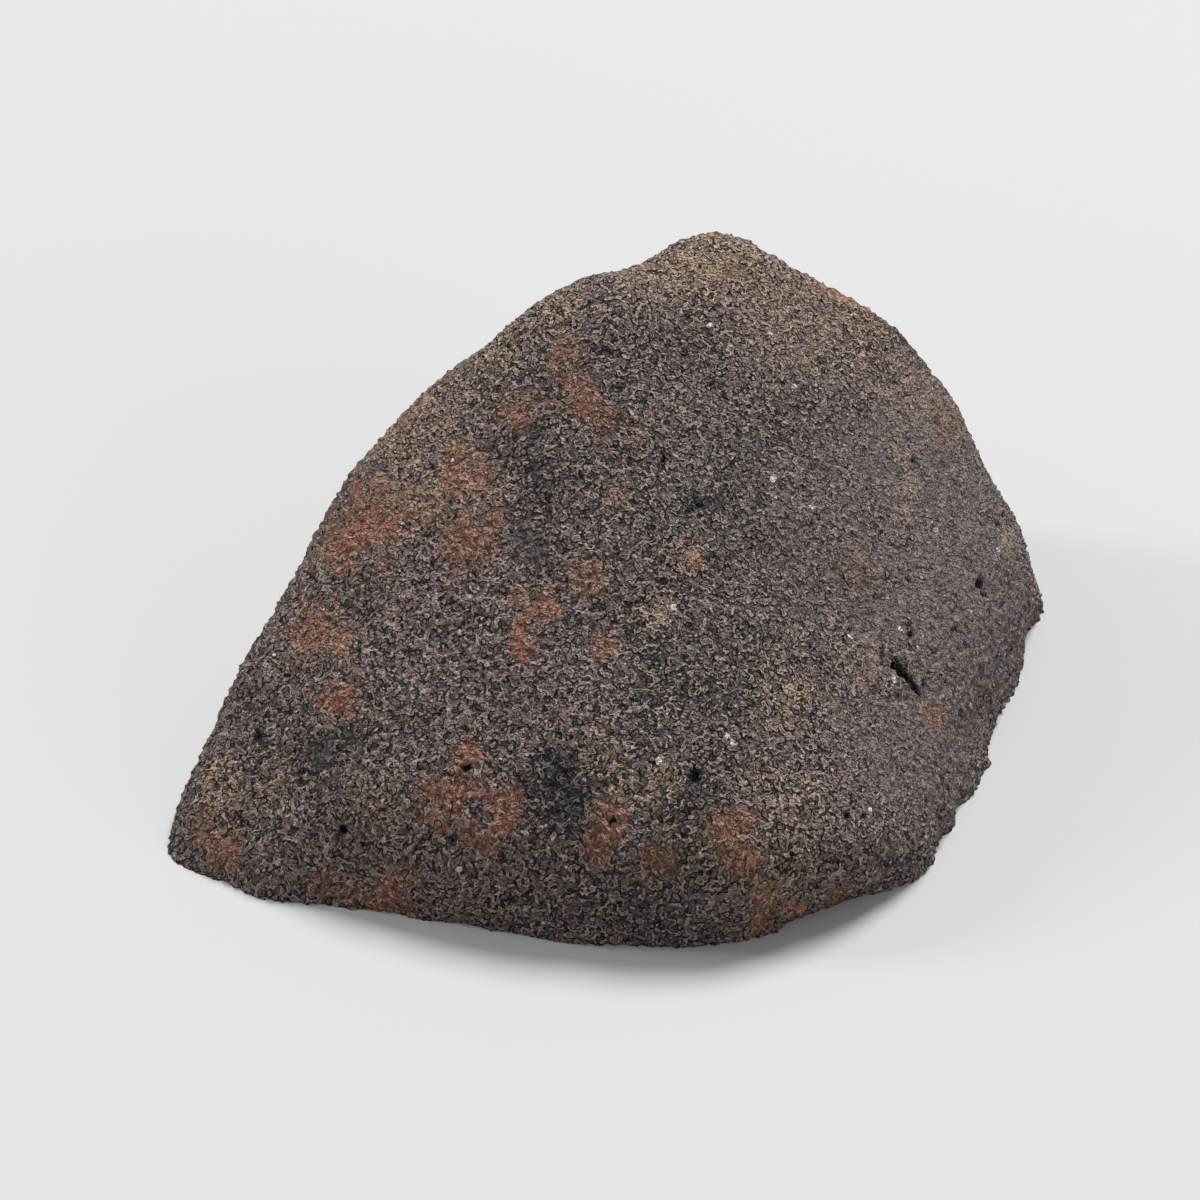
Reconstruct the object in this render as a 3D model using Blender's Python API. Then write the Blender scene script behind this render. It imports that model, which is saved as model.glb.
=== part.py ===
"""Meteorite end cut: one stone, sawn flat underneath and weathered outside.

The stone rests on its sawn face. Its outside is a mound of broad, softly rounded faces. Each face is a
plane, given below by the way that it looks, how far it leans back, and how far it lies from the hub, a
point on the sawn face under the crest. The mound's radius in any direction is where a ray from the hub
first meets those planes, with the edges between them rounded. Swells, rolling relief and the chips of the
rim are added to that radius.

Metres, +Z up. The front, with the steep wall, looks along -Y. The origin is the middle of the stone's
box, at the height of the sawn face.
"""

import math

import bmesh
import bpy
from mathutils import Vector, noise

MM = 0.001

NODE_NAME = "meteorite_end_cut"

# The stone's longest side. The other lengths below are in millimetres on a stone of about this width, and
# the finished stone is scaled to it.
STONE_WIDTH = 46.0

# Rings of points from the crest down to the rim. Ring k holds 6 k points.
RINGS = 36
RIM_POINTS = 6 * RINGS

# The faces of the crown, which meet in soft edges, and the walls that stand under them and behind them.
# For each: azimuth that the face looks to (degrees from +X towards +Y), lean of its outward normal above
# the horizontal (degrees), distance from the hub (millimetres).
CROWN_FACES = {
    "left_field": (215.0, 54.0, 17.8),
    "right_field": (325.0, 51.0, 15.2),
    "crest_plateau": (325.0, 66.0, 19.8),
    "prow": (266.0, 56.0, 16.8),
    "front_left_shoulder": (243.0, 38.0, 18.9),
}
WALL_FACES = {
    "left_corner": (165.0, 4.0, 21.2),
    "front_left_wall": (248.0, -2.0, 22.2),
    "front_wall": (260.0, -4.0, 18.9),
    "front_right_wall": (302.0, -6.0, 19.3),
    "right_wall": (343.0, 8.0, 18.2),
    "right_corner": (8.0, 26.0, 23.2),
    "back_right_wall": (30.0, 17.0, 24.4),
    "back_wall": (80.0, 13.0, 20.5),
    "back_slope": (130.0, 39.0, 21.2),
    "back_left_slope": (130.0, 26.0, 18.9),
    "left_wall": (150.0, 10.0, 17.2),
}

# How tightly edges are rounded, between crown faces, between walls, and between crown and walls: more is
# sharper.
CROWN_SHARPNESS = 11.0
WALL_SHARPNESS = 30.0
SHOULDER_SHARPNESS = 17.0

# Local swells (+) and hollows (-): azimuth and altitude seen from the hub (degrees), width (degrees),
# height (millimetres).
SWELLS = {
    "saddle": (86.0, 63.0, 6.5, -1.5),
    "crest_knob": (98.0, 72.0, 6.0, 0.7),
    "crest_shoulder": (62.0, 58.0, 7.0, 0.7),
    "left_knee": (192.0, 20.0, 7.0, 0.3),
    "left_knuckle": (166.0, 45.0, 5.0, 0.2),
    "left_toe": (218.0, 0.0, 6.0, 0.8),
    "upper_left_knuckle": (127.0, 65.0, 5.0, 0.3),
    "right_shoulder_hollow": (24.0, 23.0, 12.0, -1.2),
    "right_toe": (344.0, 0.0, 6.0, 0.5),
    "back_hollow": (90.0, 27.0, 13.0, -0.9),
    "back_left_hollow": (142.0, 18.0, 11.0, -0.7),
    "back_right_ledge": (55.0, 16.0, 9.0, 0.6),
}

# Chips broken out of the rim by the saw: azimuth of the middle and width (degrees), height above the sawn
# face and depth at the rim (millimetres).
RIM_CHIPS = {
    "front_right_spall": (300.0, 10.0, 1.8, 0.8),
    "right_notch_low": (325.0, 3.4, 1.6, 0.35),
    "right_notch_mid": (333.0, 2.6, 1.6, 0.3),
    "right_notch_high": (343.0, 3.0, 1.4, 0.2),
    "right_corner_notch": (18.0, 3.0, 1.8, 0.5),
    "back_notch": (74.0, 4.0, 2.4, 0.7),
    "back_left_notch": (128.0, 5.0, 2.0, 0.6),
    "left_notch": (176.0, 3.0, 1.6, 0.5),
    "front_left_nick": (215.0, 2.0, 1.0, 0.35),
    "front_nick": (243.0, 2.5, 1.0, 0.3),
}

# Relief over the whole outside: wavelength and height in millimetres.
ROLL_LENGTH = 9.0
ROLL_HEIGHT = 0.6
LUMP_LENGTH = 3.6
LUMP_HEIGHT = 0.3
LUMP_SHIFT = Vector((31.0, 7.0, 3.0))

CRUST_COLOUR = (0.115, 0.088, 0.080, 1.0)
CRUST_ROUGHNESS = 0.85
SHARP_ANGLE = math.radians(50.0)


def unit(azimuth, altitude):
    """The unit vector that looks to an azimuth and an altitude, in degrees."""
    turn = math.radians(azimuth)
    rise = math.radians(altitude)
    return Vector((math.cos(rise) * math.cos(turn), math.cos(rise) * math.sin(turn), math.sin(rise)))


CROWN_PLANES = [(unit(azimuth, lean), distance) for azimuth, lean, distance in CROWN_FACES.values()]
WALL_PLANES = [(unit(azimuth, lean), distance) for azimuth, lean, distance in WALL_FACES.values()]
SWELL_SPOTS = [
    (unit(azimuth, altitude), math.radians(width), height)
    for azimuth, altitude, width, height in SWELLS.values()
]


def nearness(direction, planes, sharpness):
    """One over the radius at which a ray from the hub meets these planes, with rounded edges."""
    total = 0.0
    for normal, distance in planes:
        share = direction.dot(normal) / distance
        if share > 0.0:
            total += share ** sharpness
    return total ** (1.0 / sharpness)


def faceted_radius(direction):
    """Where a ray from the hub meets the crown or a wall, in millimetres, with rounded edges."""
    crown = nearness(direction, CROWN_PLANES, CROWN_SHARPNESS)
    wall = nearness(direction, WALL_PLANES, WALL_SHARPNESS)
    return (crown ** SHOULDER_SHARPNESS + wall ** SHOULDER_SHARPNESS) ** (-1.0 / SHOULDER_SHARPNESS)


def swell_height(direction):
    """The local swells and hollows in this direction, in millimetres."""
    height = 0.0
    for spot, width, rise in SWELL_SPOTS:
        height += rise * math.exp(-((direction.angle(spot) / width) ** 2))
    return height


def relief_height(point):
    """The rolling relief at a point, in millimetres."""
    roll = noise.noise(point / ROLL_LENGTH)
    lump = noise.noise(point / LUMP_LENGTH + LUMP_SHIFT)
    return ROLL_HEIGHT * roll + LUMP_HEIGHT * lump


def chip_depth(azimuth, height):
    """How deep the rim chips cut at an azimuth in degrees and a height in millimetres."""
    depth = 0.0
    for middle, width, reach, cut in RIM_CHIPS.values():
        aside = (azimuth - middle + 180.0) % 360.0 - 180.0
        depth += cut * math.exp(-((aside / width) ** 4)) * max(0.0, 1.0 - height / reach)
    return depth


def outside_point(azimuth, altitude):
    """The point of the outside that the hub sees at this azimuth and altitude, in millimetres."""
    direction = unit(azimuth, altitude)
    radius = faceted_radius(direction) + swell_height(direction)
    radius += relief_height(direction * radius)
    return direction * (radius - chip_depth(azimuth, direction.z * radius))


def ring_size(ring):
    """How many points a ring holds. Ring 0 is the single point over the hub."""
    return max(1, 6 * ring)


def ring_points(ring):
    """The points of one ring, counted from the crest (0) to the rim (RINGS)."""
    altitude = 90.0 * (1.0 - ring / RINGS)
    count = ring_size(ring)
    return [outside_point(360.0 * step / count, altitude) for step in range(count)]


def dome_triangles():
    """The triangles between each ring and the next, as numbers of points laid down ring by ring."""
    triangles = []
    inner_start = 0
    for ring in range(1, RINGS + 1):
        inner_count = ring_size(ring - 1)
        outer_count = ring_size(ring)
        outer_start = inner_start + inner_count
        for sector in range(6):
            for step in range(ring):
                outer = sector * ring + step
                inner = sector * (ring - 1) + step
                outer_a = outer_start + outer
                outer_b = outer_start + (outer + 1) % outer_count
                inner_a = inner_start + inner % inner_count
                inner_b = inner_start + (inner + 1) % inner_count
                triangles.append((inner_a, outer_a, outer_b))
                if step < ring - 1:
                    triangles.append((inner_a, outer_b, inner_b))
        inner_start = outer_start
    return triangles


def stone_mesh():
    """The stone as one closed mesh: the dome of rings, and the flat sawn face under it."""
    points = [point for ring in range(RINGS + 1) for point in ring_points(ring)]
    for point in points[-RIM_POINTS:]:
        point.z = 0.0
    lows = [min(point[axis] for point in points) for axis in range(3)]
    highs = [max(point[axis] for point in points) for axis in range(3)]
    origin = Vector(((lows[0] + highs[0]) / 2.0, (lows[1] + highs[1]) / 2.0, 0.0))
    scale = MM * STONE_WIDTH / (highs[0] - lows[0])

    bm = bmesh.new()
    verts = [bm.verts.new((point - origin) * scale) for point in points]
    for a, b, c in dome_triangles():
        bm.faces.new((verts[a], verts[b], verts[c]))
    rim = verts[-RIM_POINTS:]
    hub = bm.verts.new(-origin * scale)
    for step in range(RIM_POINTS):
        bm.faces.new((hub, rim[(step + 1) % RIM_POINTS], rim[step]))
    mesh = bpy.data.meshes.new(NODE_NAME)
    bm.to_mesh(mesh)
    bm.free()
    mesh.shade_smooth()
    mesh.set_sharp_from_angle(angle=SHARP_ANGLE)
    return mesh


def crust_material():
    """The weathered brown outside."""
    material = bpy.data.materials.new("weathered_stone")
    material.use_nodes = True
    shader = material.node_tree.nodes["Principled BSDF"]
    shader.inputs["Base Color"].default_value = CRUST_COLOUR
    shader.inputs["Roughness"].default_value = CRUST_ROUGHNESS
    shader.inputs["Metallic"].default_value = 0.0
    return material


def main():
    for thing in list(bpy.data.objects):
        bpy.data.objects.remove(thing)
    mesh = stone_mesh()
    mesh.materials.append(crust_material())
    stone = bpy.data.objects.new(NODE_NAME, mesh)
    bpy.context.scene.collection.objects.link(stone)


main()
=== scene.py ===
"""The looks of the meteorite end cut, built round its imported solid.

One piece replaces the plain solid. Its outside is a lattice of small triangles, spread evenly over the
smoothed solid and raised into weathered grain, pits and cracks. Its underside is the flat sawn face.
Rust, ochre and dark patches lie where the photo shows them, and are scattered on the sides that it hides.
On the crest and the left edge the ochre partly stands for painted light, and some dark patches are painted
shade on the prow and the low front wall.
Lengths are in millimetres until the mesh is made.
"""

import math
import random

import bmesh
import bpy
import numpy as np
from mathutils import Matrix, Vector, noise
from mathutils.bvhtree import BVHTree


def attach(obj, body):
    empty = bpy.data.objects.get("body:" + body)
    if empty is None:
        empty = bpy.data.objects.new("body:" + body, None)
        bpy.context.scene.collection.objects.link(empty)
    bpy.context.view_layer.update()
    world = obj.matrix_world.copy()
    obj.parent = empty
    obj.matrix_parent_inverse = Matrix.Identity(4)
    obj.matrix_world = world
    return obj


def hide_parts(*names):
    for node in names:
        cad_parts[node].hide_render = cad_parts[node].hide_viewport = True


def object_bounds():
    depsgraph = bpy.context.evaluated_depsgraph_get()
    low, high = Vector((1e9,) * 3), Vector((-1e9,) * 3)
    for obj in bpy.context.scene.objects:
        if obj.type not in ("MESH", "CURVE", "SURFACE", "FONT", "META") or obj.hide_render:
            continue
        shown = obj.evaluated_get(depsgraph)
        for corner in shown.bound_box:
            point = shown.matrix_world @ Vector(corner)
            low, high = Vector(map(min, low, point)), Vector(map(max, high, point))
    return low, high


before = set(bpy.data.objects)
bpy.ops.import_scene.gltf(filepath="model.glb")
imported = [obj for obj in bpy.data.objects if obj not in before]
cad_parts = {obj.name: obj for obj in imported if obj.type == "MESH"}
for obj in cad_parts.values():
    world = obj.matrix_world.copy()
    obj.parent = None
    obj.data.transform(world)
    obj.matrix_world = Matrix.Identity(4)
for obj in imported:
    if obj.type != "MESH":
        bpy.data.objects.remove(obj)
cad_low, cad_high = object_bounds()

MM = 0.001
NODE = "meteorite_end_cut"
PIECE = "weathered_end_cut"
SEED = 7

# Points of the solid that are this close, in millimetres, are one, and this close to the floor lie on it.
TOUCHING = 0.001

# The photo's camera. It looks along +Y and down, and the aim point is in the middle of its picture.
PHOTO_SIDE = 1200
PHOTO_FOCUS = 4302.0
CAMERA_ELEVATION = math.radians(35.0)
CAMERA_DISTANCE = 220.0
CAMERA_AIM = Vector((-1.11, -2.04, 8.03))
CAMERA_FORWARD = Vector((0.0, math.cos(CAMERA_ELEVATION), -math.sin(CAMERA_ELEVATION)))
CAMERA_UP = Vector((0.0, math.sin(CAMERA_ELEVATION), math.cos(CAMERA_ELEVATION)))
CAMERA_PLACE = CAMERA_AIM - CAMERA_DISTANCE * CAMERA_FORWARD
PIXEL = CAMERA_DISTANCE / PHOTO_FOCUS
SENSOR_WIDTH = 36.0

# The saw's lines on the sawn face run at this turn.
SAW_TURN = math.radians(18.0)

# The floor: half its side in metres, and its corners as shares of that.
FLOOR_HALF = 3.0
FLOOR_CORNERS = ((-1, -1), (1, -1), (1, 1), (-1, 1))

# Light: the white surroundings, and round lamps with place and width in metres and power in watts.
WORLD_STRENGTH = 0.34
LIGHTS = {
    "key_light": ((0.5, 0.85, 1.7), 0.8, 46.0),
    "left_light": ((-1.7, 0.2, 0.9), 0.5, 11.5),
    "front_light": ((1.3, -1.2, 0.7), 1.2, 6.0),
}

# The lattice of the outside: rings of triangles when coarse, and how many rounds spread it evenly before
# and after each halving. The smooth outside is read in steps of turn and fall. Every point is then shifted
# by up to POINT_SHIFT, and the lattice is halved once more along the cracks, within CRACK_REACH of them.
# The sawn face has rings at these shares of the way out to the rim.
COARSE_RINGS = 11
EVEN_ROUNDS = (200, 200, 150, 80, 30)
EVEN_STEP = 0.4
TURN_STEPS = 1200
FALL_STEPS = 320
SMOOTH_LEVELS = 2
POINT_SHIFT = 0.035
CRACK_REACH = 0.28
SAWN_RINGS = (0.985, 0.955, 0.89, 0.75, 0.45)

# Relief over the whole outside: size and height. Dents are sunk where a field of their size falls from the
# first level to the second. The whole outside is then sunk by SINK, which keeps it near the solid's.
BROAD_RELIEF = {"swell": (3.4, 0.10), "lump": (1.2, 0.06)}
GRAIN_RELIEF = {"clump": (0.5, 0.05), "grain": (0.27, 0.21)}
DENT_SIZE = 0.4
DENT_DEPTH = 0.07
DENT_LEVELS = (0.2, 0.42)
SINK = 0.06

# A crack's edges waver by a field of this size and height. A pit or crack carved this deep is painted fully
# dark, as painted shade.
CRACK_WAVER_SIZE = 0.3
CRACK_WAVER = 0.08
PIT_SHADE_DEPTH = 0.2

# The grain's height, in millimetres, is read by the material times this, from the middle grey. The material
# paints the grain's hollows darker and its tips lighter by it: painted shade and painted light.
GRAIN_SHARE = 2.6

# The rim: height over which the relief's rise and fall comes in, height that the wear reaches, size and
# depth of the wear, how far it stays back, and how sharply the smoothing keeps the edge. The wear moves
# points straight outwards or inwards, and less where the outside lies flatter than LEAST_OUTWARD.
RIM_FADE = 0.7
RIM_WEAR_REACH = 1.6
RIM_WEAR = {"bite": (1.7, 0.12), "tooth": (0.6, 0.07)}
RIM_WEAR_BIAS = 0.2
RIM_CREASE = 0.3
LEAST_OUTWARD = 0.2

# Colour spots fade out between these distances, in radii, and a ragged noise of these sizes and heights
# moves their edges. Depth in the photo's view counts for DEPTH_SHARE of what it is.
SPOT_FADE = (0.25, 1.8)
SPOT_RAGGED = {"lobe": (1.1, 0.8), "fringe": (0.45, 0.72), "stain": (2.4, 0.4)}
DEPTH_SHARE = 0.45

# Named places in the photo: pixel across, pixel down, radius in pixels, strength. The calm spots are where
# the grain is worn smoother.
RUST_SPOTS = {
    "left_foot": (217, 847, 22, 0.7),
    "left_foot_high": (204, 825, 15, 0.6),
    "left_rim": (388, 895, 26, 0.85),
    "left_rim_faint": (322, 884, 13, 0.6),
    "ring_left": (443, 812, 27, 1.0),
    "ring_top": (472, 784, 16, 1.0),
    "ring_right": (503, 803, 16, 1.0),
    "ring_right_low": (500, 823, 13, 0.9),
    "ring_foot": (486, 842, 14, 0.7),
    "over_ring": (467, 753, 14, 0.9),
    "beside_dark": (608, 820, 18, 1.0),
    "under_dark": (603, 852, 17, 0.8),
    "low_middle": (652, 862, 24, 0.8),
    "low_right": (730, 828, 24, 0.8),
    "low_streak": (742, 862, 22, 0.8),
    "low_streak_foot": (768, 896, 20, 0.8),
    "upper_left": (460, 476, 32, 0.8),
    "upper_left_low": (464, 531, 28, 0.9),
    "upper_left_side": (488, 520, 16, 0.8),
    "upper_left_middle": (414, 505, 32, 0.6),
    "outer_left": (362, 525, 42, 0.8),
    "outer_left_low": (345, 545, 26, 0.8),
    "left_field": (315, 630, 28, 0.8),
    "left_field_low": (335, 700, 22, 1.0),
    "high_left": (520, 409, 22, 0.8),
    "high_middle": (582, 402, 22, 1.0),
    "high_middle_low": (596, 428, 16, 0.5),
    "high_top": (562, 355, 24, 0.7),
    "high_right": (637, 438, 15, 0.5),
    "prow_dot": (517, 641, 14, 0.9),
    "prow_dot_high": (541, 604, 15, 0.8),
    "prow_dot_left": (520, 596, 13, 0.7),
    "prow_faint": (592, 577, 19, 0.6),
    "prow_faint_high": (615, 495, 16, 0.5),
    "prow_right": (692, 557, 13, 0.8),
    "prow_low": (608, 649, 14, 0.8),
    "right_faint": (862, 575, 19, 0.35),
    "right_low": (938, 717, 14, 0.5),
    "right_edge": (955, 420, 28, 0.4),
    "crest": (727, 270, 16, 0.8),
    "crest_left": (690, 262, 12, 0.5),
    "chip_left": (760, 928, 13, 1.0),
    "chip_middle": (797, 914, 14, 1.0),
    "chip_right": (838, 900, 12, 1.0),
}
OCHRE_AND_LIGHT_SPOTS = {
    # The crest spots are partly painted light: their tan is the crest's ochre and also the light that its
    # top catches.
    "crest_front": (790, 295, 62, 0.65),
    "crest_peak": (705, 252, 52, 1.0),
    "crest_left_end": (650, 280, 34, 0.7),
    "crest_right": (850, 325, 46, 0.5),
    "crest_far_right": (915, 385, 40, 0.35),
    # The left edge spots are partly painted light: their tan is ochre and also the light along the left
    # edge.
    "left_edge_top": (555, 302, 26, 1.0),
    "left_edge_high": (500, 345, 26, 1.0),
    "left_edge_middle": (440, 400, 30, 0.7),
    "left_edge_low": (330, 560, 22, 0.3),
    "over_rust": (405, 440, 34, 0.7),
    "over_rust_low": (420, 490, 26, 0.6),
    "dark_rim": (600, 760, 18, 0.9),
    "dark_rim_low": (610, 795, 16, 0.7),
    "bright_dot": (667, 779, 13, 1.0),
    "bright_dot_left": (645, 790, 18, 0.6),
    "low_left": (220, 783, 21, 0.9),
    "low_left_right": (276, 777, 14, 0.8),
    "low_left_middle": (272, 796, 14, 0.5),
    "left_middle": (380, 802, 24, 0.6),
    "left_middle_high": (356, 786, 12, 0.6),
    "low_right": (780, 795, 28, 0.5),
    "low_right_high": (785, 695, 28, 0.6),
    "right_line_top": (905, 455, 11, 0.7),
    "right_line": (912, 490, 12, 0.8),
    "right_line_low": (908, 515, 10, 0.5),
    "right_field": (862, 660, 26, 0.4),
    "prow_side": (692, 550, 16, 0.8),
    "prow_pit": (655, 602, 13, 1.0),
    "prow_pit_rim": (657, 618, 11, 0.9),
    "right_edge": (1012, 540, 16, 0.5),
    "front_foot": (700, 850, 26, 0.4),
    "front_foot_right": (790, 868, 26, 0.4),
    "over_left": (470, 505, 22, 0.5),
}
DARK_AND_SHADE_SPOTS = {
    "black_patch": (563, 797, 32, 1.0),
    "black_patch_top": (556, 772, 22, 1.0),
    "black_pit": (696, 775, 8, 1.0),
    "ring_middle": (477, 808, 8, 0.8),
    "prow_top": (536, 432, 22, 0.9),
    # The next five spots are painted shade over the top and the left side of the prow.
    "prow_top_right": (610, 440, 44, 0.5),
    "prow_top_high": (556, 388, 58, 0.55),
    "prow_left": (550, 465, 44, 0.6),
    "prow_left_low": (532, 515, 34, 0.4),
    "high_left": (508, 445, 26, 0.4),
    "low_middle": (690, 806, 32, 0.55),
    # The next two spots are painted shade on the low front wall.
    "wall_middle": (650, 900, 60, 0.4),
    "wall_left": (560, 885, 46, 0.35),
    "grey_disc": (528, 541, 19, 0.8),
    "prow_streak": (696, 500, 13, 0.9),
    "prow_streak_low": (714, 514, 11, 0.8),
    "prow_low": (644, 645, 20, 0.5),
    "shoulder": (690, 330, 36, 0.45),
    "shoulder_low": (785, 430, 24, 0.35),
    "left_low": (258, 734, 9, 0.9),
    "left_blue": (321, 749, 16, 0.6),
    "left_blue_right": (358, 737, 18, 0.6),
    "left_high": (350, 585, 20, 0.4),
    "under_prow": (730, 690, 26, 0.5),
    "under_prow_left": (660, 700, 22, 0.4),
}
OLIVE_SPOTS = {
    "prow": (700, 500, 90, 0.9),
    "prow_low": (712, 665, 75, 0.9),
    "prow_high": (640, 360, 60, 0.7),
    "shoulder": (785, 425, 50, 0.5),
    "front": (690, 780, 60, 0.6),
    "left": (300, 740, 60, 0.5),
}
CALM_SPOTS = {
    "right_middle": (820, 500, 100, 0.5),
    "right": (960, 600, 120, 1.0),
    "right_high": (930, 470, 100, 0.8),
    "right_low": (930, 730, 80, 0.8),
    "grey_disc": (528, 541, 20, 0.8),
    "left_blue": (321, 749, 14, 0.7),
    "crest": (800, 330, 60, 0.4),
}

SEEN_SPOTS = {
    "rust": RUST_SPOTS,
    "ochre": OCHRE_AND_LIGHT_SPOTS,
    "dark": DARK_AND_SHADE_SPOTS,
    "olive": OLIVE_SPOTS,
    "calm": CALM_SPOTS,
}

# Round pits: pixel across, pixel down, radius in pixels, depth in millimetres.
PITS = {
    "right_hole": (982, 583, 6.0, 0.55),
    "right_hole_tail": (985, 594, 3.6, 0.3),
    "over_slot": (913, 634, 3.6, 0.3),
    "beside_slot": (936, 650, 3.8, 0.3),
    "under_slot": (926, 682, 3.6, 0.3),
    "right_high": (910, 578, 3.6, 0.3),
    "right_higher": (916, 460, 3.8, 0.3),
    "right_higher_left": (900, 477, 3.2, 0.25),
    "prow_high": (666, 458, 4.5, 0.4),
    "prow_ridge": (700, 504, 4.0, 0.35),
    "low_middle": (696, 775, 6.0, 0.45),
    "left_low": (341, 830, 5.0, 0.4),
    "left": (258, 734, 4.5, 0.35),
    "over_ring": (466, 767, 4.0, 0.35),
    "front_right": (849, 814, 4.0, 0.3),
    "shoulder": (822, 360, 4.0, 0.3),
    "shoulder_left": (686, 353, 4.0, 0.3),
    "ring": (451, 840, 4.5, 0.4),
    "rust_dot": (613, 821, 4.0, 0.35),
    "slit_left": (882, 691, 3.2, 0.25),
    "right_field": (821, 519, 3.2, 0.25),
    "right_upper": (955, 513, 3.0, 0.25),
    "right_lower": (967, 645, 3.2, 0.25),
    "groove_top": (942, 779, 4.0, 0.25),
    "groove_low": (949, 791, 4.0, 0.25),
    "right_groove": (961, 773, 4.0, 0.25),
}

# Cracks: both ends in pixels, half width in pixels, depth in millimetres.
CRACKS = {
    "slot_high": (897, 663, 909, 679, 4.6, 0.8),
    "slot_low": (909, 679, 921, 694, 2.8, 0.5),
}

# Bright mineral grains, and metal grains whose shine is painted in as white: pixel across, pixel down,
# strength. Their radius is in millimetres.
SPECKS = {
    "front": (733, 742, 1.0),
    "front_left": (728, 734, 0.8),
    "high": (774, 478, 1.0),
    "high_low": (776, 496, 0.6),
    "high_right": (812, 506, 0.8),
    "prow": (674, 606, 1.0),
    "right_low": (961, 784, 0.6),
    "right": (960, 743, 0.6),
    "foot": (871, 810, 0.8),
    "foot_right": (938, 838, 0.6),
    "foot_low": (927, 855, 0.6),
    "slot": (894, 679, 1.0),
    "over_slot": (901, 628, 0.8),
    "low_middle": (659, 760, 1.0),
    "low_left": (458, 870, 0.9),
    "right_high": (937, 529, 0.7),
    "right_edge": (1000, 549, 0.7),
    "right_field": (850, 636, 0.9),
    "crest": (729, 349, 0.7),
    "crest_left": (710, 324, 0.7),
    "crest_right": (795, 385, 0.7),
    "crest_middle": (770, 333, 0.6),
}
SPECK_RADIUS = 0.16

# The hidden sides: where the outside's normal has more than AWAY_FACING of the camera's forward look, and
# above LEAST_HEIGHT. What they get, scattered: how many, the least and the most radius in pixels, and the
# ranges of the spots' strength, and of the pits' radius in pixels and depth in millimetres.
AWAY_FACING = -0.05
LEAST_HEIGHT = 0.8
HIDDEN_SPOTS = {
    "rust": (34, 12, 36),
    "ochre": (20, 12, 48),
    "dark": (16, 10, 34),
    "olive": (7, 60, 100),
    "calm": (5, 40, 110),
}
HIDDEN_STRENGTH = (0.5, 1.0)
HIDDEN_PITS = 46
HIDDEN_PIT_RADIUS = (3.2, 6.0)
HIDDEN_PIT_DEPTH = (0.2, 0.45)


def srgb(red, green, blue):
    """A colour as read off the screen, from 0 to 255, in the linear form that shaders take."""
    shares = [channel / 255.0 for channel in (red, green, blue)]
    linear = [share / 12.92 if share < 0.04045 else ((share + 0.055) / 1.055) ** 2.4 for share in shares]
    return (*linear, 1.0)


# The outside's smooth form and its even lattice.


def open_dome():
    """The solid's outside as an object in millimetres, its doubled points merged and its base left off."""
    bm = bmesh.new()
    bm.from_mesh(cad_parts[NODE].data)
    bmesh.ops.scale(bm, vec=(1.0 / MM,) * 3, verts=bm.verts)
    bmesh.ops.remove_doubles(bm, verts=bm.verts, dist=TOUCHING)
    flat = [face for face in bm.faces if all(vert.co.z < TOUCHING for vert in face.verts)]
    bmesh.ops.delete(bm, geom=flat, context="FACES")
    crease = bm.verts.layers.float.new("crease_vert")
    for vert in bm.verts:
        if vert.is_boundary:
            vert[crease] = RIM_CREASE
    mesh = bpy.data.meshes.new("open_dome")
    bm.to_mesh(mesh)
    bm.free()
    dome = bpy.data.objects.new("open_dome", mesh)
    bpy.context.scene.collection.objects.link(dome)
    return dome


def smooth_dome():
    """The outside as a smooth tree for nearest points, and the points of its rim in order."""
    dome = open_dome()
    smoothing = dome.modifiers.new("smooth", "SUBSURF")
    smoothing.levels = SMOOTH_LEVELS
    smoothing.render_levels = SMOOTH_LEVELS
    shown = dome.evaluated_get(bpy.context.evaluated_depsgraph_get()).to_mesh()
    points = np.empty(len(shown.vertices) * 3)
    shown.vertices.foreach_get("co", points)
    points = points.reshape(-1, 3)
    polygons = [tuple(polygon.vertices) for polygon in shown.polygons]
    tree = BVHTree.FromPolygons(points.tolist(), polygons)
    uses = {}
    for polygon in polygons:
        for start, end in zip(polygon, polygon[1:] + polygon[:1]):
            key = (min(start, end), max(start, end))
            uses[key] = uses.get(key, 0) + 1
    rim = points[np.unique([key for key, count in uses.items() if count == 1])]
    turn = np.arctan2(rim[:, 1], rim[:, 0]) % (2.0 * math.pi)
    bpy.data.objects.remove(dome)
    return tree, rim[np.argsort(turn)]


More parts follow.
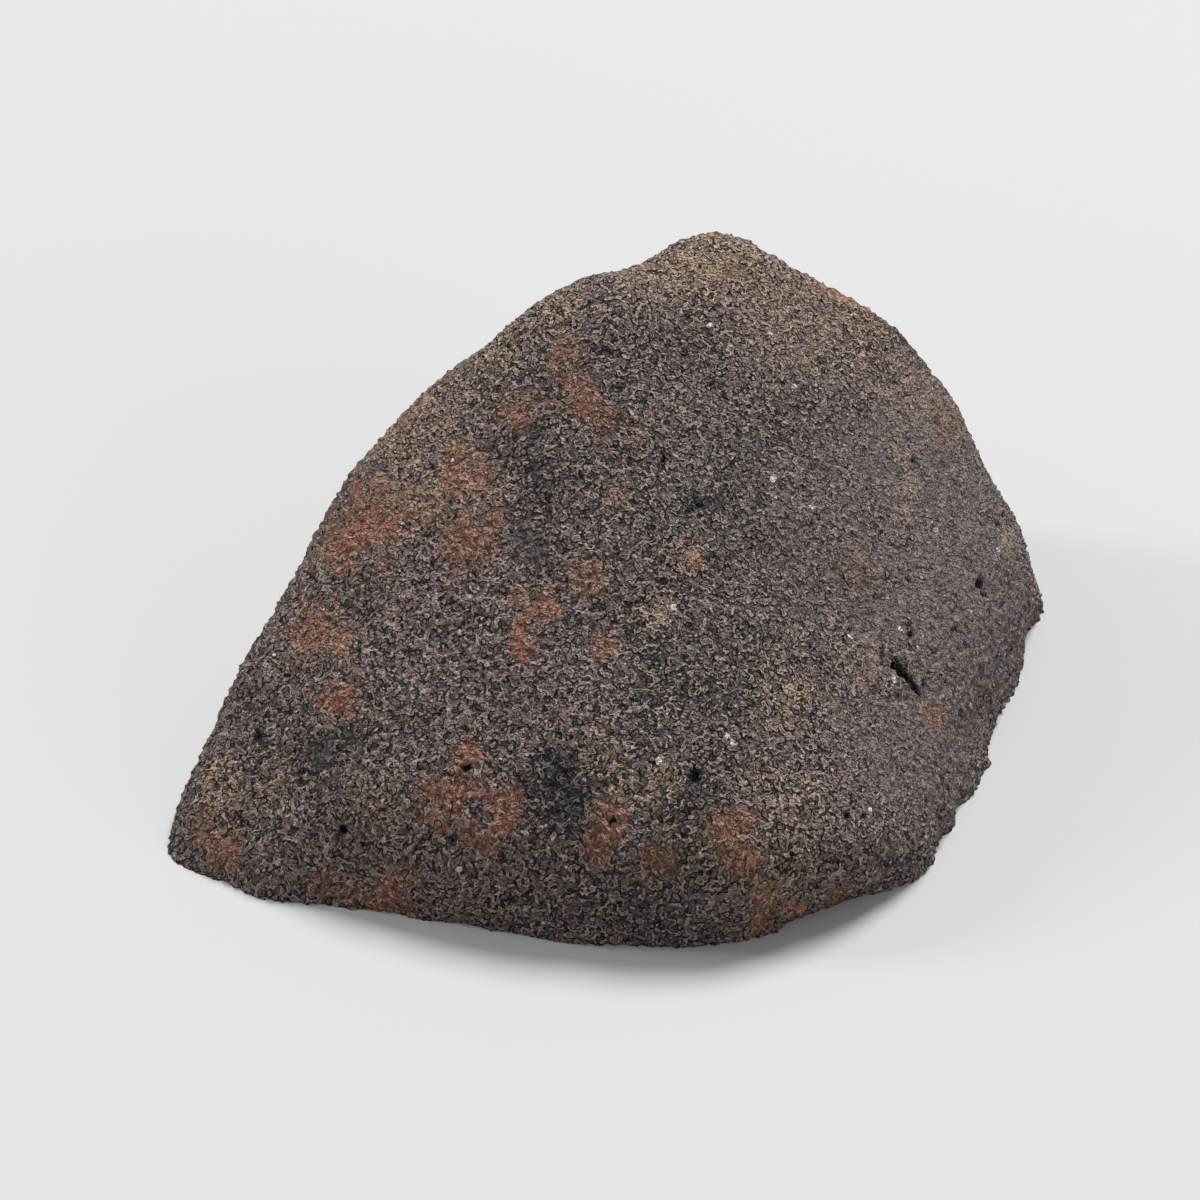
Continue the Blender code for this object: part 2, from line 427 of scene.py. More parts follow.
class Outside:
    """The smooth outside, read by direction from the middle of the base.

    A place on it is given on a disc of radius 1: the turn round the disc is the azimuth, and the way out
    from the middle of the disc is the fall from straight up (0) to the rim (1).
    """

    def __init__(self, tree, rim):
        self.closed_rim = np.vstack([rim, rim[:1]])
        steps = np.linalg.norm(np.diff(self.closed_rim, axis=0), axis=1)
        self.laps = np.concatenate([[0.0], np.cumsum(steps)]) / steps.sum()
        rim_turns = np.arctan2(rim[:, 1], rim[:, 0]) % (2.0 * math.pi)
        rim_radii = np.linalg.norm(rim, axis=1)
        turns = 2.0 * math.pi * np.arange(TURN_STEPS) / TURN_STEPS
        self.radii = np.empty((TURN_STEPS + 1, FALL_STEPS + 1))
        self.radii[:TURN_STEPS, FALL_STEPS] = np.interp(turns, rim_turns, rim_radii, period=2.0 * math.pi)
        base = Vector((0.0, 0.0, 0.0))
        for fall in range(FALL_STEPS):
            lean = 0.5 * math.pi * fall / FALL_STEPS
            for step, turn in enumerate(turns.tolist()):
                flat = math.sin(lean)
                direction = Vector((flat * math.cos(turn), flat * math.sin(turn), math.cos(lean)))
                self.radii[step, fall] = tree.ray_cast(base, direction)[3]
        self.radii[TURN_STEPS] = self.radii[0]

    def rim_places(self, laps):
        """Places on the disc for points that lie so far round the rim, from 0 to 1."""
        across = np.interp(laps % 1.0, self.laps, self.closed_rim[:, 0])
        along = np.interp(laps % 1.0, self.laps, self.closed_rim[:, 1])
        return np.column_stack([across, along]) / np.hypot(across, along)[:, None]

    def at(self, disc):
        """The points of the outside at these places on the disc."""
        turn = np.arctan2(disc[:, 1], disc[:, 0]) % (2.0 * math.pi)
        fall = np.clip(np.hypot(disc[:, 0], disc[:, 1]), 0.0, 1.0)
        turn_at = turn / (2.0 * math.pi) * TURN_STEPS
        fall_at = fall * FALL_STEPS
        turn_low = np.minimum(turn_at.astype(int), TURN_STEPS - 1)
        fall_low = np.minimum(fall_at.astype(int), FALL_STEPS - 1)
        turn_share = turn_at - turn_low
        fall_share = fall_at - fall_low
        low = self.radii[turn_low, fall_low] * (1 - turn_share)
        low += self.radii[turn_low + 1, fall_low] * turn_share
        high = self.radii[turn_low, fall_low + 1] * (1 - turn_share)
        high += self.radii[turn_low + 1, fall_low + 1] * turn_share
        radius = low * (1 - fall_share) + high * fall_share
        lean = 0.5 * math.pi * fall
        flat = radius * np.sin(lean)
        return np.column_stack([flat * np.cos(turn), flat * np.sin(turn), radius * np.cos(lean)])

    def onto(self, points):
        """The points moved to or from the middle of the base until they lie on the outside."""
        lean = np.arccos(np.clip(points[:, 2] / np.linalg.norm(points, axis=1), 0.0, 1.0))
        turn = np.arctan2(points[:, 1], points[:, 0])
        fall = lean / (0.5 * math.pi)
        return self.at(np.column_stack([fall * np.cos(turn), fall * np.sin(turn)]))


def ring_size(ring):
    """How many points a ring holds. Ring 0 is the single point at the top."""
    return max(1, 6 * ring)


def dome_triangles(rings):
    """The triangles between each ring and the next, as numbers of points laid down ring by ring."""
    triangles = []
    inner_start = 0
    for ring in range(1, rings + 1):
        inner_count = ring_size(ring - 1)
        outer_count = ring_size(ring)
        outer_start = inner_start + inner_count
        for sector in range(6):
            for step in range(ring):
                outer = sector * ring + step
                inner = sector * (ring - 1) + step
                outer_a = outer_start + outer
                outer_b = outer_start + (outer + 1) % outer_count
                inner_a = inner_start + inner % inner_count
                inner_b = inner_start + (inner + 1) % inner_count
                triangles.append((inner_a, outer_a, outer_b))
                if step < ring - 1:
                    triangles.append((inner_a, outer_b, inner_b))
        inner_start = outer_start
    return np.array(triangles)


def coarse_lattice(outside):
    """Places on the disc of the coarse lattice, and how far round the rim each lies, or nan inside."""
    disc = []
    for ring in range(COARSE_RINGS):
        for step in range(ring_size(ring)):
            turn = 2.0 * math.pi * step / ring_size(ring)
            disc.append((ring / COARSE_RINGS * math.cos(turn), ring / COARSE_RINGS * math.sin(turn)))
    laps = np.arange(ring_size(COARSE_RINGS)) / ring_size(COARSE_RINGS)
    inside = np.full(len(disc), np.nan)
    return np.vstack([np.array(disc), outside.rim_places(laps)]), np.concatenate([inside, laps])


def edges_of(triangles):
    """The edges, which three of them each triangle has, and how many triangles each edge has."""
    ends = np.concatenate([triangles[:, [0, 1]], triangles[:, [1, 2]], triangles[:, [2, 0]]])
    edges, number, uses = np.unique(np.sort(ends, axis=1), axis=0, return_inverse=True, return_counts=True)
    return edges, number.reshape(3, -1).T, uses


def evened(outside, disc, laps, triangles, rounds):
    """The lattice spread evenly: each point moves to the middle of its neighbours on the disc.

    A neighbour counts for more the farther off it is on the stone.
    """
    edges, _, _ = edges_of(triangles)
    start, end = edges.T
    inside = np.isnan(laps)
    disc[~inside] = outside.rim_places(laps[~inside])
    for _ in range(rounds):
        points = outside.at(disc)
        weight = np.linalg.norm(points[end] - points[start], axis=1)
        total = np.bincount(start, weight, len(disc)) + np.bincount(end, weight, len(disc))
        for axis in range(2):
            pull = weight * (disc[end, axis] - disc[start, axis])
            move = np.bincount(start, pull, len(disc)) - np.bincount(end, pull, len(disc))
            disc[inside, axis] += EVEN_STEP * (move / total)[inside]
    return disc


def halved(disc, laps, triangles):
    """Each triangle cut into four at the middles of its edges."""
    edges, number, uses = edges_of(triangles)
    middles = disc[edges].mean(axis=1)
    first = laps[edges[:, 0]]
    step = (laps[edges[:, 1]] - first + 0.5) % 1.0 - 0.5
    middle_laps = np.where(uses == 1, (first + 0.5 * step) % 1.0, np.nan)
    a, b, c = triangles.T
    ab, bc, ca = (number + len(disc)).T
    quarters = [(a, ab, ca), (ab, b, bc), (ca, bc, c), (ab, bc, ca)]
    finer = np.concatenate([np.column_stack(corners) for corners in quarters])
    return np.vstack([disc, middles]), np.concatenate([laps, middle_laps]), finer


def even_lattice(outside):
    """The even lattice over the outside: points, triangles, and the rim's point numbers in order."""
    disc, laps = coarse_lattice(outside)
    triangles = dome_triangles(COARSE_RINGS)
    disc = evened(outside, disc, laps, triangles, EVEN_ROUNDS[0])
    for rounds in EVEN_ROUNDS[1:]:
        disc, laps, triangles = halved(disc, laps, triangles)
        disc = evened(outside, disc, laps, triangles, rounds)
    rim_count = int((~np.isnan(laps)).sum())
    return outside.at(disc), triangles, np.argsort(laps)[:rim_count]


# Places in the photo, found on the stone.


def photo_point(tree, across, down):
    """The point of the outside that the photo shows at a pixel."""
    middle = 0.5 * PHOTO_SIDE
    ray = PHOTO_FOCUS * CAMERA_FORWARD + Vector((across - middle, 0.0, 0.0)) + (middle - down) * CAMERA_UP
    found = tree.ray_cast(CAMERA_PLACE, ray.normalized())[0]
    if found is None:
        raise ValueError(f"the photo's pixel {across}, {down} misses the stone")
    return found


def distance_from(points, centre):
    """The distance of each point from a place."""
    return np.linalg.norm(points - np.array(centre), axis=1)


def distance_from_line(points, start, end):
    """The distance of each point from the straight line between two points."""
    start = np.array(start)
    along = np.array(end) - start
    share = np.clip((points - start) @ along / (along @ along), 0.0, 1.0)
    return np.linalg.norm(points - start - share[:, None] * along, axis=1)


def seen_distance(points, centre):
    """Distance as the photo shows it, so that a spot looks round there: depth counts for less."""
    offset = points - np.array(centre)
    depth = offset @ np.array(CAMERA_FORWARD)
    aside = offset - depth[:, None] * np.array(CAMERA_FORWARD)
    return np.sqrt((aside ** 2).sum(axis=1) + (DEPTH_SHARE * depth) ** 2)


def field(points, size, salt):
    """Smooth noise at each point, from about -0.7 to 0.7, whose lumps are about this size.

    Another salt gives another noise.
    """
    shifted = points / size + salt * np.array((17.3, 5.1, 9.7))
    return np.array([noise.noise(point) for point in shifted.tolist()])


def field_sum(points, layers, first_salt):
    """Layers of smooth noise, each given by its size and height, added up."""
    total = np.zeros(len(points))
    for salt, (size, rise) in enumerate(layers.values(), first_salt):
        total += rise * field(points, size, salt)
    return total


def ramp(values, low, high):
    """Rises smoothly from 0 at low to 1 at high."""
    share = np.clip((values - low) / (high - low), 0.0, 1.0)
    return share * share * (3.0 - 2.0 * share)


class Features:
    """All pits, cracks, colour spots and specks as places on the stone, in millimetres."""

    def __init__(self, tree, points, normals):
        chance = random.Random(SEED)
        away = np.flatnonzero(normals @ np.array(CAMERA_FORWARD) > AWAY_FACING)
        high = away[points[away, 2] > LEAST_HEIGHT]

        def hidden_place():
            return points[chance.choice(high)]

        self.pits = [
            (np.array(photo_point(tree, across, down)), radius * PIXEL, depth)
            for across, down, radius, depth in PITS.values()
        ]
        for _ in range(HIDDEN_PITS):
            place = hidden_place()
            radius = PIXEL * chance.uniform(*HIDDEN_PIT_RADIUS)
            self.pits.append((place, radius, chance.uniform(*HIDDEN_PIT_DEPTH)))
        self.cracks = [
            (photo_point(tree, *ends[:2]), photo_point(tree, *ends[2:]), half_width * PIXEL, depth)
            for *ends, half_width, depth in CRACKS.values()
        ]
        self.spots = {}
        for kind, places in SEEN_SPOTS.items():
            self.spots[kind] = [
                (photo_point(tree, across, down), radius * PIXEL, strength, True)
                for across, down, radius, strength in places.values()
            ]
            count, least, most = HIDDEN_SPOTS[kind]
            for _ in range(count):
                radius = PIXEL * chance.uniform(least, most)
                self.spots[kind].append((hidden_place(), radius, chance.uniform(*HIDDEN_STRENGTH), False))
        self.specks = [
            (photo_point(tree, across, down), strength)
            for across, down, strength in SPECKS.values()
        ]


def refined(points, triangles, cracks, outside):
    """The lattice with its triangles halved once more along the cracks."""
    bm = bmesh.new()
    for point in points.tolist():
        bm.verts.new(point)
    bm.verts.index_update()
    bm.verts.ensure_lookup_table()
    for corners in triangles.tolist():
        bm.faces.new([bm.verts[corner] for corner in corners])
    places = np.array([vert.co for vert in bm.verts])
    close = np.zeros(len(places), bool)
    for start, end, half_width, _ in cracks:
        close |= distance_from_line(places, start, end) < half_width + CRACK_REACH
    cut = [edge for edge in bm.edges if close[edge.verts[0].index] and close[edge.verts[1].index]]
    bmesh.ops.subdivide_edges(bm, edges=cut, cuts=1, use_grid_fill=True)
    bmesh.ops.triangulate(bm, faces=[face for face in bm.faces if len(face.verts) > 3])
    bm.verts.index_update()
    finer = np.array([vert.co for vert in bm.verts])
    added = slice(len(points), len(finer))
    finer[added] = outside.onto(finer[added])
    corners = np.array([[vert.index for vert in face.verts] for face in bm.faces])
    bm.free()
    return finer, corners


def vertex_normals(points, triangles):
    """The direction in which the outside looks at each point."""
    corners = points[triangles]
    normal = np.cross(corners[:, 1] - corners[:, 0], corners[:, 2] - corners[:, 0])
    total = np.zeros_like(points)
    for corner in range(3):
        np.add.at(total, triangles[:, corner], normal)
    return total / np.linalg.norm(total, axis=1)[:, None]


# The weathered relief and the masks of the colours.


def relief(points, features):
    """How far each point moves out along its normal, its grain alone, and how much painted shade its pit or
    crack gets.
    """
    broad = field_sum(points, BROAD_RELIEF, 0)
    grain = field_sum(points, GRAIN_RELIEF, 5)
    grain -= DENT_DEPTH * ramp(-field(points, DENT_SIZE, 11), *DENT_LEVELS)
    height = broad + grain - SINK
    carved = np.zeros(len(points))
    for centre, radius, depth in features.pits:
        carved = np.maximum(carved, depth * np.exp(-(distance_from(points, centre) / radius) ** 4))
    for start, end, half_width, depth in features.cracks:
        aside = distance_from_line(points, start, end) + CRACK_WAVER * field(points, CRACK_WAVER_SIZE, 12)
        carved = np.maximum(carved, depth * np.exp(-(np.abs(aside) / half_width) ** 4))
    return height - carved, grain, np.clip(carved / PIT_SHADE_DEPTH, 0.0, 1.0)


def rim_wear(points):
    """How far each point near the rim moves out: less than 0 where the saw has torn it back."""
    deepest = sum(depth for _, depth in RIM_WEAR.values())
    wear = field_sum(points, RIM_WEAR, 20) - RIM_WEAR_BIAS * deepest
    return wear * ramp(-points[:, 2], -RIM_WEAR_REACH, 0.0)


def spot_mask(points, spots, ragged):
    """Where a kind of colour lies, from 0 to 1, with ragged, grainy edges."""
    mask = np.zeros(len(points))
    for centre, radius, strength, seen in spots:
        apart = seen_distance(points, centre) if seen else distance_from(points, centre)
        near = ragged - apart / radius
        mask = np.maximum(mask, strength * ramp(near, -SPOT_FADE[1], -SPOT_FADE[0]))
    return mask


def masks(points, features):
    """Each kind of colour spot, some partly painted light and shade, and the bright specks, as a value from
    0 to 1 at each point.
    """
    ragged = field_sum(points, SPOT_RAGGED, 30)
    made = {kind: spot_mask(points, spots, ragged) for kind, spots in features.spots.items()}
    speck = np.zeros(len(points))
    for centre, strength in features.specks:
        speck = np.maximum(speck, strength * np.exp(-(distance_from(points, centre) / SPECK_RADIUS) ** 2))
    made["speck"] = speck
    return made


def roughened(points, triangles, features):
    """The outside with its relief, and the masks that its material reads."""
    normals = vertex_normals(points, triangles)
    height, grain, pit = relief(points, features)
    move = normals * height[:, None]
    rim_fade = ramp(points[:, 2], 0.0, RIM_FADE)
    move[:, 2] *= rim_fade
    outward = normals * np.array((1.0, 1.0, 0.0))
    outward /= np.maximum(np.linalg.norm(outward, axis=1), LEAST_OUTWARD)[:, None]
    move += outward * rim_wear(points)[:, None]
    made = masks(points, features)
    made["pit"] = pit
    made["relief"] = np.clip(0.5 + GRAIN_SHARE * grain, 0.0, 1.0)
    return points + move, made


# The stone's mesh.


def sawn_face(rim_points):
    """Points and triangles that close the rim with a flat face, each ring of them half as many."""
    points = [rim_points]
    triangles = []
    outer_start = 0
    for share in SAWN_RINGS:
        outer = points[-1]
        outer_count = len(outer)
        inner_count = outer_count // 2
        inner_start = outer_start + outer_count
        points.append(rim_points[:: len(rim_points) // inner_count] * share)
        for step in range(inner_count):
            a, b, c = (outer_start + (2 * step + turn) % outer_count for turn in range(3))
            d, e = (inner_start + (step + turn) % inner_count for turn in range(2))
            triangles += [(a, d, b), (b, d, e), (b, e, c)]
        outer_start = inner_start
    hub = sum(len(ring) for ring in points)
    points.append(np.zeros((1, 3)))
    last_count = hub - outer_start
    for step in range(last_count):
        triangles.append((outer_start + step, hub, outer_start + (step + 1) % last_count))
    return np.vstack(points), np.array(triangles)


def stone_object():
    """The finished stone: its roughened outside, the sawn face, and their materials and masks."""
    tree, rim = smooth_dome()
    outside = Outside(tree, rim)
    points, triangles, rim_order = even_lattice(outside)
    chance = np.random.default_rng(SEED)
    inside = np.ones(len(points), bool)
    inside[rim_order] = False
    shifted = points + chance.uniform(-POINT_SHIFT, POINT_SHIFT, points.shape)
    points[inside] = outside.onto(shifted[inside])
    features = Features(tree, points, vertex_normals(points, triangles))
    points, triangles = refined(points, triangles, features.cracks, outside)
    points, made = roughened(points, triangles, features)
    points = np.clip(points, np.array(cad_low) / MM, np.array(cad_high) / MM)
    points[rim_order, 2] = 0.0

    cap_points, cap_triangles = sawn_face(points[rim_order])
    rim_count = len(rim_order)
    numbers = np.concatenate([rim_order, len(points) + np.arange(len(cap_points) - rim_count)])
    points = np.vstack([points, cap_points[rim_count:]])
    all_triangles = np.concatenate([triangles, numbers[cap_triangles]])

    mesh = bpy.data.meshes.new(PIECE)
    mesh.from_pydata((points * MM).tolist(), [], all_triangles.tolist())
    sawn = np.arange(len(all_triangles)) >= len(triangles)
    mesh.polygons.foreach_set("use_smooth", ~sawn)
    mesh.materials.append(crust_material())
    mesh.materials.append(sawn_material())
    mesh.polygons.foreach_set("material_index", sawn.astype(np.int32))
    for name, values in made.items():
        full = np.zeros(len(points), np.float32)
        full[: len(values)] = values
        mesh.attributes.new(name, "FLOAT", "POINT").data.foreach_set("value", full)
    mesh.update()
    stone = bpy.data.objects.new(PIECE, mesh)
    bpy.context.scene.collection.objects.link(stone)
    return stone


# Materials.


class Nodes:
    """A material's nodes, added with their inputs as numbers, colours or other nodes' outputs."""

    def __init__(self, name):
        self.material = bpy.data.materials.new(name)
        self.material.use_nodes = True
        self.tree = self.material.node_tree
        self.shader = self.tree.nodes["Principled BSDF"]
        place = self.add("ShaderNodeTexCoord").outputs["Object"]
        scaled = self.add("ShaderNodeVectorMath", {0: place, "Scale": 1.0 / MM}, operation="SCALE")
        self.place = scaled.outputs[0]

    def fill(self, node, inputs):
        """Link or set each named input of a node."""
        for key, value in inputs.items():
            if isinstance(value, bpy.types.NodeSocket):
                self.tree.links.new(value, node.inputs[key])
            else:
                node.inputs[key].default_value = value

    def add(self, kind, inputs=None, **settings):
        """A new node with its settings and inputs."""
        node = self.tree.nodes.new(kind)
        for key, value in settings.items():
            setattr(node, key, value)
        self.fill(node, inputs or {})
        return node

    def noise(self, size, detail=2.0, roughness=0.5):
        """Smooth noise from 0 to 1 whose lumps are about this many millimetres."""
        inputs = {"Vector": self.place, "Scale": 1.0 / size, "Detail": detail, "Roughness": roughness}
        return self.add("ShaderNodeTexNoise", inputs).outputs["Fac"]

    def band(self, value, middle, width):
        """Winding lines in a noise: 1 where it is at the middle, falling to 0 at this width from it."""
        aside = self.math("ABSOLUTE", self.math("SUBTRACT", value, middle))
        return self.ramp(aside, 0.0, width, 1.0, 0.0)

    def product(self, *values):
        """All the values multiplied."""
        total = values[0]
        for value in values[1:]:
            total = self.math("MULTIPLY", total, value)
        return total

    def vector(self, operation, *values):
        """One step of vector arithmetic."""
        node = self.add("ShaderNodeVectorMath", dict(enumerate(values)), operation=operation)
        return node.outputs[0]

    def swirled(self, size, reach):
        """The place moved about by smooth noise of this size, by about this many millimetres."""
        inputs = {"Vector": self.place, "Scale": 1.0 / size, "Detail": 1.0}
        swirl = self.add("ShaderNodeTexNoise", inputs).outputs["Color"]
        centred = self.vector("SUBTRACT", swirl, (0.5, 0.5, 0.5))
        return self.vector("MULTIPLY_ADD", centred, (4.0 * reach,) * 3, self.place)

    def cells(self, size, output="Distance", place=None, feature="F1"):
        """Cells of about this size: how far off the middle of the cell is, or its random colour."""
        inputs = {"Vector": place or self.place, "Scale": 1.0 / size}
        return self.add("ShaderNodeTexVoronoi", inputs, feature=feature).outputs[output]

    def attribute(self, name):
        """A mask of the mesh, by its name."""
        return self.add("ShaderNodeAttribute", attribute_name=name).outputs["Fac"]

    def math(self, operation, *values):
        """One step of arithmetic."""
        node = self.add("ShaderNodeMath", dict(enumerate(values)), operation=operation)
        return node.outputs[0]

    def ramp(self, value, low, high, start=0.0, end=1.0):
        """Value mapped from low..high to start..end, smoothly and without overshoot."""
        inputs = {"Value": value, "From Min": low, "From Max": high, "To Min": start, "To Max": end}
        return self.add("ShaderNodeMapRange", inputs, interpolation_type="SMOOTHSTEP").outputs["Result"]

    def mix(self, share, first, second, blend="MIX"):
        """The first colour with this share of the second mixed in."""
        node = self.add("ShaderNodeMix", data_type="RGBA", blend_type=blend)
        self.fill(node, {0: share, 6: first, 7: second})
        return node.outputs[2]

    def grey(self, value):
        """A grey of this value."""
        return self.add("ShaderNodeCombineColor", {"Red": value, "Green": value, "Blue": value}).outputs[0]

    def bump(self, height, depth):
        """A bump of this height field, whose full depth is given in millimetres."""
        inputs = {"Height": height, "Distance": depth * MM, "Strength": 1.0}
        return self.add("ShaderNodeBump", inputs).outputs["Normal"]


def crust_material():
    """The weathered outside: purple-brown grey grains with black gaps painted as shade and pale ridges
    painted as highlights, and rust, ochre and dark patches, partly painted light and shade.
    """
    nodes = Nodes("weathered_crust")
    fine = nodes.noise(0.12, detail=1.0)
    grain = nodes.noise(0.22, detail=1.0, roughness=0.6)
    mottle = nodes.noise(1.2, detail=3.0, roughness=0.6)
    zone = nodes.noise(6.5, detail=2.0)
    rust_spot = nodes.attribute("rust")
    ochre_and_light_spot = nodes.attribute("ochre")
    dark_and_shade_spot = nodes.attribute("dark")
    wild = nodes.ramp(nodes.attribute("calm"), 0.0, 1.0, 1.0, 0.35)

    swirl = nodes.swirled(0.35, 0.2)
    seam = nodes.cells(0.4, place=swirl, feature="DISTANCE_TO_EDGE")
    shade = nodes.cells(0.4, output="Color", place=swirl)
    # Painted shade: black gaps along the cells' seams.
    seam_shade = nodes.ramp(seam, 0.02, 0.14, 1.0, 0.0)
    seam_shade = nodes.product(seam_shade, nodes.ramp(nodes.noise(0.32, detail=1.0), 0.44, 0.6), wild)
    worm = nodes.noise(0.27, detail=0.4)
    broken = nodes.ramp(nodes.noise(0.4, detail=1.0), 0.36, 0.5)
    soft_dark = nodes.ramp(dark_and_shade_spot, 0.3, 1.0, 1.0, 0.4)
    # Painted highlight: pale worm lines on the grain's raised places.
    ridge_highlight = nodes.product(nodes.band(worm, 0.59, 0.10), broken, wild, soft_dark)
    # Painted shade: dark worm grooves in the grain's low places.
    groove_shade = nodes.product(nodes.band(worm, 0.45, 0.13), broken, wild)
    soft_rust = nodes.ramp(rust_spot, 0.0, 1.0, 1.0, 0.5)
    gap_shade = nodes.product(nodes.math("MAXIMUM", seam_shade, groove_shade), soft_rust)

    brown = nodes.mix(nodes.ramp(mottle, 0.35, 0.65), srgb(127, 109, 108), srgb(126, 108, 103))
    brown = nodes.mix(nodes.attribute("calm"), brown, srgb(121, 111, 109))
    olive_share = nodes.product(nodes.attribute("olive"), nodes.ramp(mottle, 0.3, 0.6, 0.5, 1.0))
    colour = nodes.mix(olive_share, brown, srgb(95, 89, 83))
    colour = nodes.mix(nodes.ramp(zone, 0.5, 0.75, 0.0, 0.4), colour, srgb(100, 93, 94))

    stain_share = nodes.ramp(rust_spot, 0.0, 0.5, 0.0, 0.8)
    colour = nodes.mix(stain_share, colour, srgb(126, 105, 90))
    rust = nodes.mix(nodes.ramp(mottle, 0.4, 0.6), srgb(155, 99, 84), srgb(152, 107, 86))
    rust_share = nodes.product(nodes.ramp(rust_spot, 0.3, 0.85), nodes.ramp(grain, 0.3, 0.6, 0.7, 1.0))
    colour = nodes.mix(rust_share, colour, rust)
    # Tan: ochre, and on the crest and the left edge also painted light.
    tan_and_light_share = nodes.product(ochre_and_light_spot, nodes.ramp(mottle, 0.3, 0.6, 0.35, 0.85))
    colour = nodes.mix(tan_and_light_share, colour, srgb(170, 147, 124))
    # Dark patches: dark marks, and painted shade on the prow and the low front wall.
    dark_and_shade_share = nodes.product(dark_and_shade_spot, nodes.ramp(fine, 0.45, 0.7, 1.0, 0.8), soft_rust)
    colour = nodes.mix(dark_and_shade_share, colour, srgb(40, 39, 44))

    # The tone paints the grain's hollows darker and its tips lighter, and the gaps, pits and cracks near
    # black: painted shade and light, over random tone from the noises and cells.
    tone = nodes.product(
        nodes.ramp(nodes.attribute("relief"), 0.1, 0.9, 0.76, 1.24),
        nodes.ramp(grain, 0.28, 0.7, 0.84, 1.16),
        nodes.ramp(fine, 0.3, 0.7, 0.82, 1.18),
        nodes.ramp(shade, 0.2, 0.8, 0.86, 1.14),
        nodes.ramp(gap_shade, 0.0, 1.0, 1.0, 0.04),
        nodes.ramp(nodes.attribute("pit"), 0.0, 1.0, 1.0, 0.08),
    )
    colour = nodes.mix(1.0, colour, nodes.grey(tone), blend="MULTIPLY")
    # The colour of the pale worm lines' painted highlight, tinted by the ochre and the rust.
    pale = nodes.mix(ochre_and_light_spot, srgb(180, 162, 154), srgb(210, 184, 154))
    pale = nodes.mix(rust_spot, pale, srgb(184, 148, 126))
    colour = nodes.mix(nodes.product(ridge_highlight, 0.85), colour, pale)
    # White specks and dots: pale mineral grains, with the shine of metal grains painted in.
    dots = nodes.product(nodes.ramp(nodes.cells(1.5), 0.08, 0.05), 0.6)
    grain_and_glint = nodes.math("MAXIMUM", nodes.ramp(nodes.attribute("speck"), 0.2, 0.45), dots)
    colour = nodes.mix(grain_and_glint, colour, srgb(224, 220, 212))

    height = nodes.math("ADD", nodes.product(fine, 0.15), nodes.product(grain, 0.8))
    height = nodes.math("ADD", height, nodes.ramp(seam, 0.0, 0.3, 0.0, 0.4))
    height = nodes.math("ADD", height, nodes.ramp(worm, 0.42, 0.58, 0.0, 0.6))
    nodes.fill(nodes.shader, {
        "Base Color": colour,
        "Roughness": nodes.ramp(fine, 0.3, 0.7, 0.95, 0.7),
        "Normal": nodes.bump(height, 0.38),
    })
    nodes.shader.inputs["Specular IOR Level"].default_value = 0.35
    return nodes.material


def sawn_material():
    """The sawn face: brown-grey stone with round grains, rusty metal flecks and saw lines."""
    nodes = Nodes("sawn_stone")
    mottle = nodes.noise(1.6, detail=4.0, roughness=0.65)
    fine = nodes.noise(0.3, detail=3.0)
    flecks = nodes.noise(0.5, detail=2.0, roughness=0.6)
    colour = nodes.mix(nodes.ramp(mottle, 0.35, 0.65), srgb(84, 76, 71), srgb(104, 82, 68))
    for size, share in ((1.3, 0.6), (0.7, 0.45)):
        round_grain = nodes.ramp(nodes.cells(size), 0.44, 0.36)
        tint = nodes.ramp(nodes.cells(size, output="Color"), 0.2, 0.8)
        grey = nodes.mix(tint, srgb(66, 61, 58), srgb(134, 124, 112))
        colour = nodes.mix(nodes.product(round_grain, share), colour, grey)
    metal = nodes.ramp(flecks, 0.66, 0.69)
    colour = nodes.mix(nodes.product(nodes.ramp(flecks, 0.56, 0.66), 0.6), colour, srgb(110, 68, 50))
    colour = nodes.mix(metal, colour, srgb(172, 168, 162))
    colour = nodes.mix(nodes.ramp(fine, 0.3, 0.7, 0.3, 0.0), colour, srgb(38, 34, 32))
    turn = {"Vector": nodes.place, "Rotation": (0.0, 0.0, SAW_TURN)}
    turned = nodes.add("ShaderNodeMapping", turn).outputs[0]
    saw_inputs = {"Vector": turned, "Scale": 0.9, "Distortion": 0.6, "Detail": 2.0}
    saw = nodes.add("ShaderNodeTexWave", saw_inputs).outputs["Fac"]
    height = nodes.math("ADD", nodes.product(saw, 0.5), nodes.product(fine, 0.5))
    nodes.fill(nodes.shader, {
        "Base Color": colour,
        "Metallic": metal,
        "Roughness": nodes.ramp(mottle, 0.3, 0.7, 0.42, 0.6),
        "Normal": nodes.bump(height, 0.02),
    })
    return nodes.material


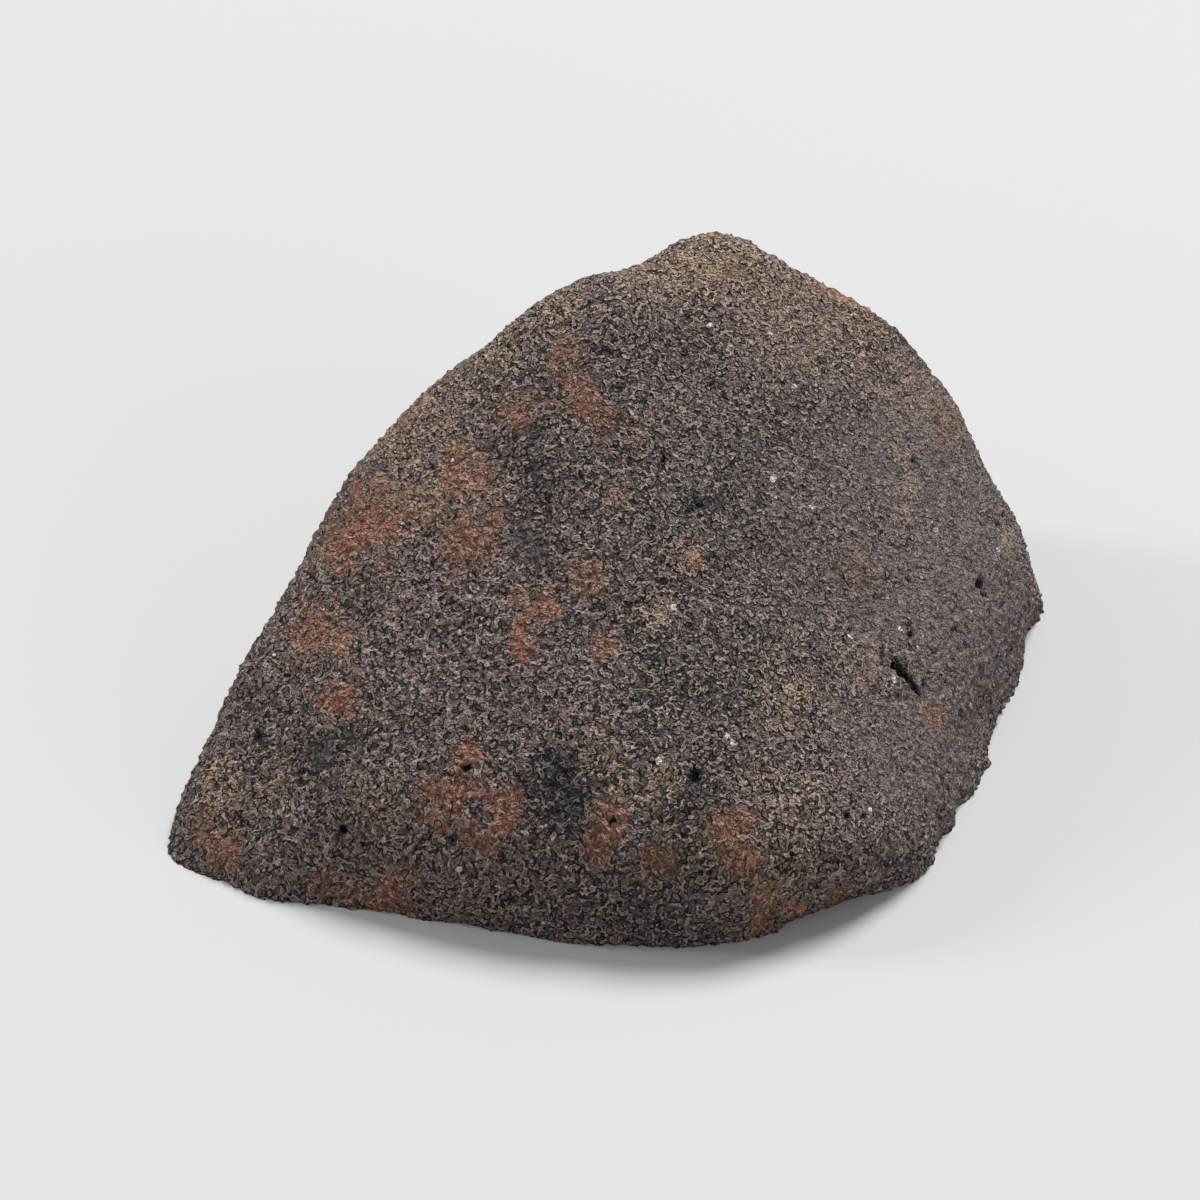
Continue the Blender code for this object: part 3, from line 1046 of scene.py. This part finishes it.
def floor_material():
    """The floor's pale matt grey."""
    nodes = Nodes("pale_floor")
    shade = nodes.noise(60.0, detail=1.0)
    colour = nodes.mix(shade, srgb(187, 187, 187), srgb(190, 190, 190))
    nodes.fill(nodes.shader, {"Base Color": colour, "Roughness": 0.9})
    return nodes.material


# The stage: floor, light and camera.


def pale_floor():
    """The plain floor under the stone, which is the stage and no part of it."""
    mesh = bpy.data.meshes.new("floor")
    corners = [(across * FLOOR_HALF, along * FLOOR_HALF, 0) for across, along in FLOOR_CORNERS]
    mesh.from_pydata(corners, [], [(0, 1, 2, 3)])
    mesh.materials.append(floor_material())
    floor = bpy.data.objects.new("floor", mesh)
    bpy.context.scene.collection.objects.link(floor)


def soft_light():
    """The white surroundings and the lamps, each turned to the middle of the floor."""
    scene = bpy.context.scene
    world = bpy.data.worlds.new("studio")
    world.use_nodes = True
    background = world.node_tree.nodes["Background"]
    background.inputs["Color"].default_value = (1.0, 1.0, 1.0, 1.0)
    background.inputs["Strength"].default_value = WORLD_STRENGTH
    scene.world = world
    for name, (place, width, power) in LIGHTS.items():
        light = bpy.data.lights.new(name, "AREA")
        light.shape = "DISK"
        light.size = width
        light.energy = power
        lamp = bpy.data.objects.new(name, light)
        lamp.location = place
        lamp.rotation_mode = "QUATERNION"
        lamp.rotation_quaternion = (-Vector(place)).to_track_quat("-Z", "Y")
        scene.collection.objects.link(lamp)


def photo_camera():
    """The camera that sees the stone as the photo does."""
    camera = bpy.data.cameras.new("photo_camera")
    camera.sensor_width = SENSOR_WIDTH
    camera.lens = PHOTO_FOCUS * SENSOR_WIDTH / PHOTO_SIDE
    camera.clip_start = 0.01
    holder = bpy.data.objects.new("photo_camera", camera)
    holder.location = CAMERA_PLACE * MM
    holder.rotation_mode = "QUATERNION"
    holder.rotation_quaternion = CAMERA_FORWARD.to_track_quat("-Z", "Y")
    bpy.context.scene.collection.objects.link(holder)
    bpy.context.scene.camera = holder


bpy.context.scene.view_settings.view_transform = "Standard"
photo_camera()
soft_light()
pale_floor()
stone = stone_object()
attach(stone, "root")
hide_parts(NODE)
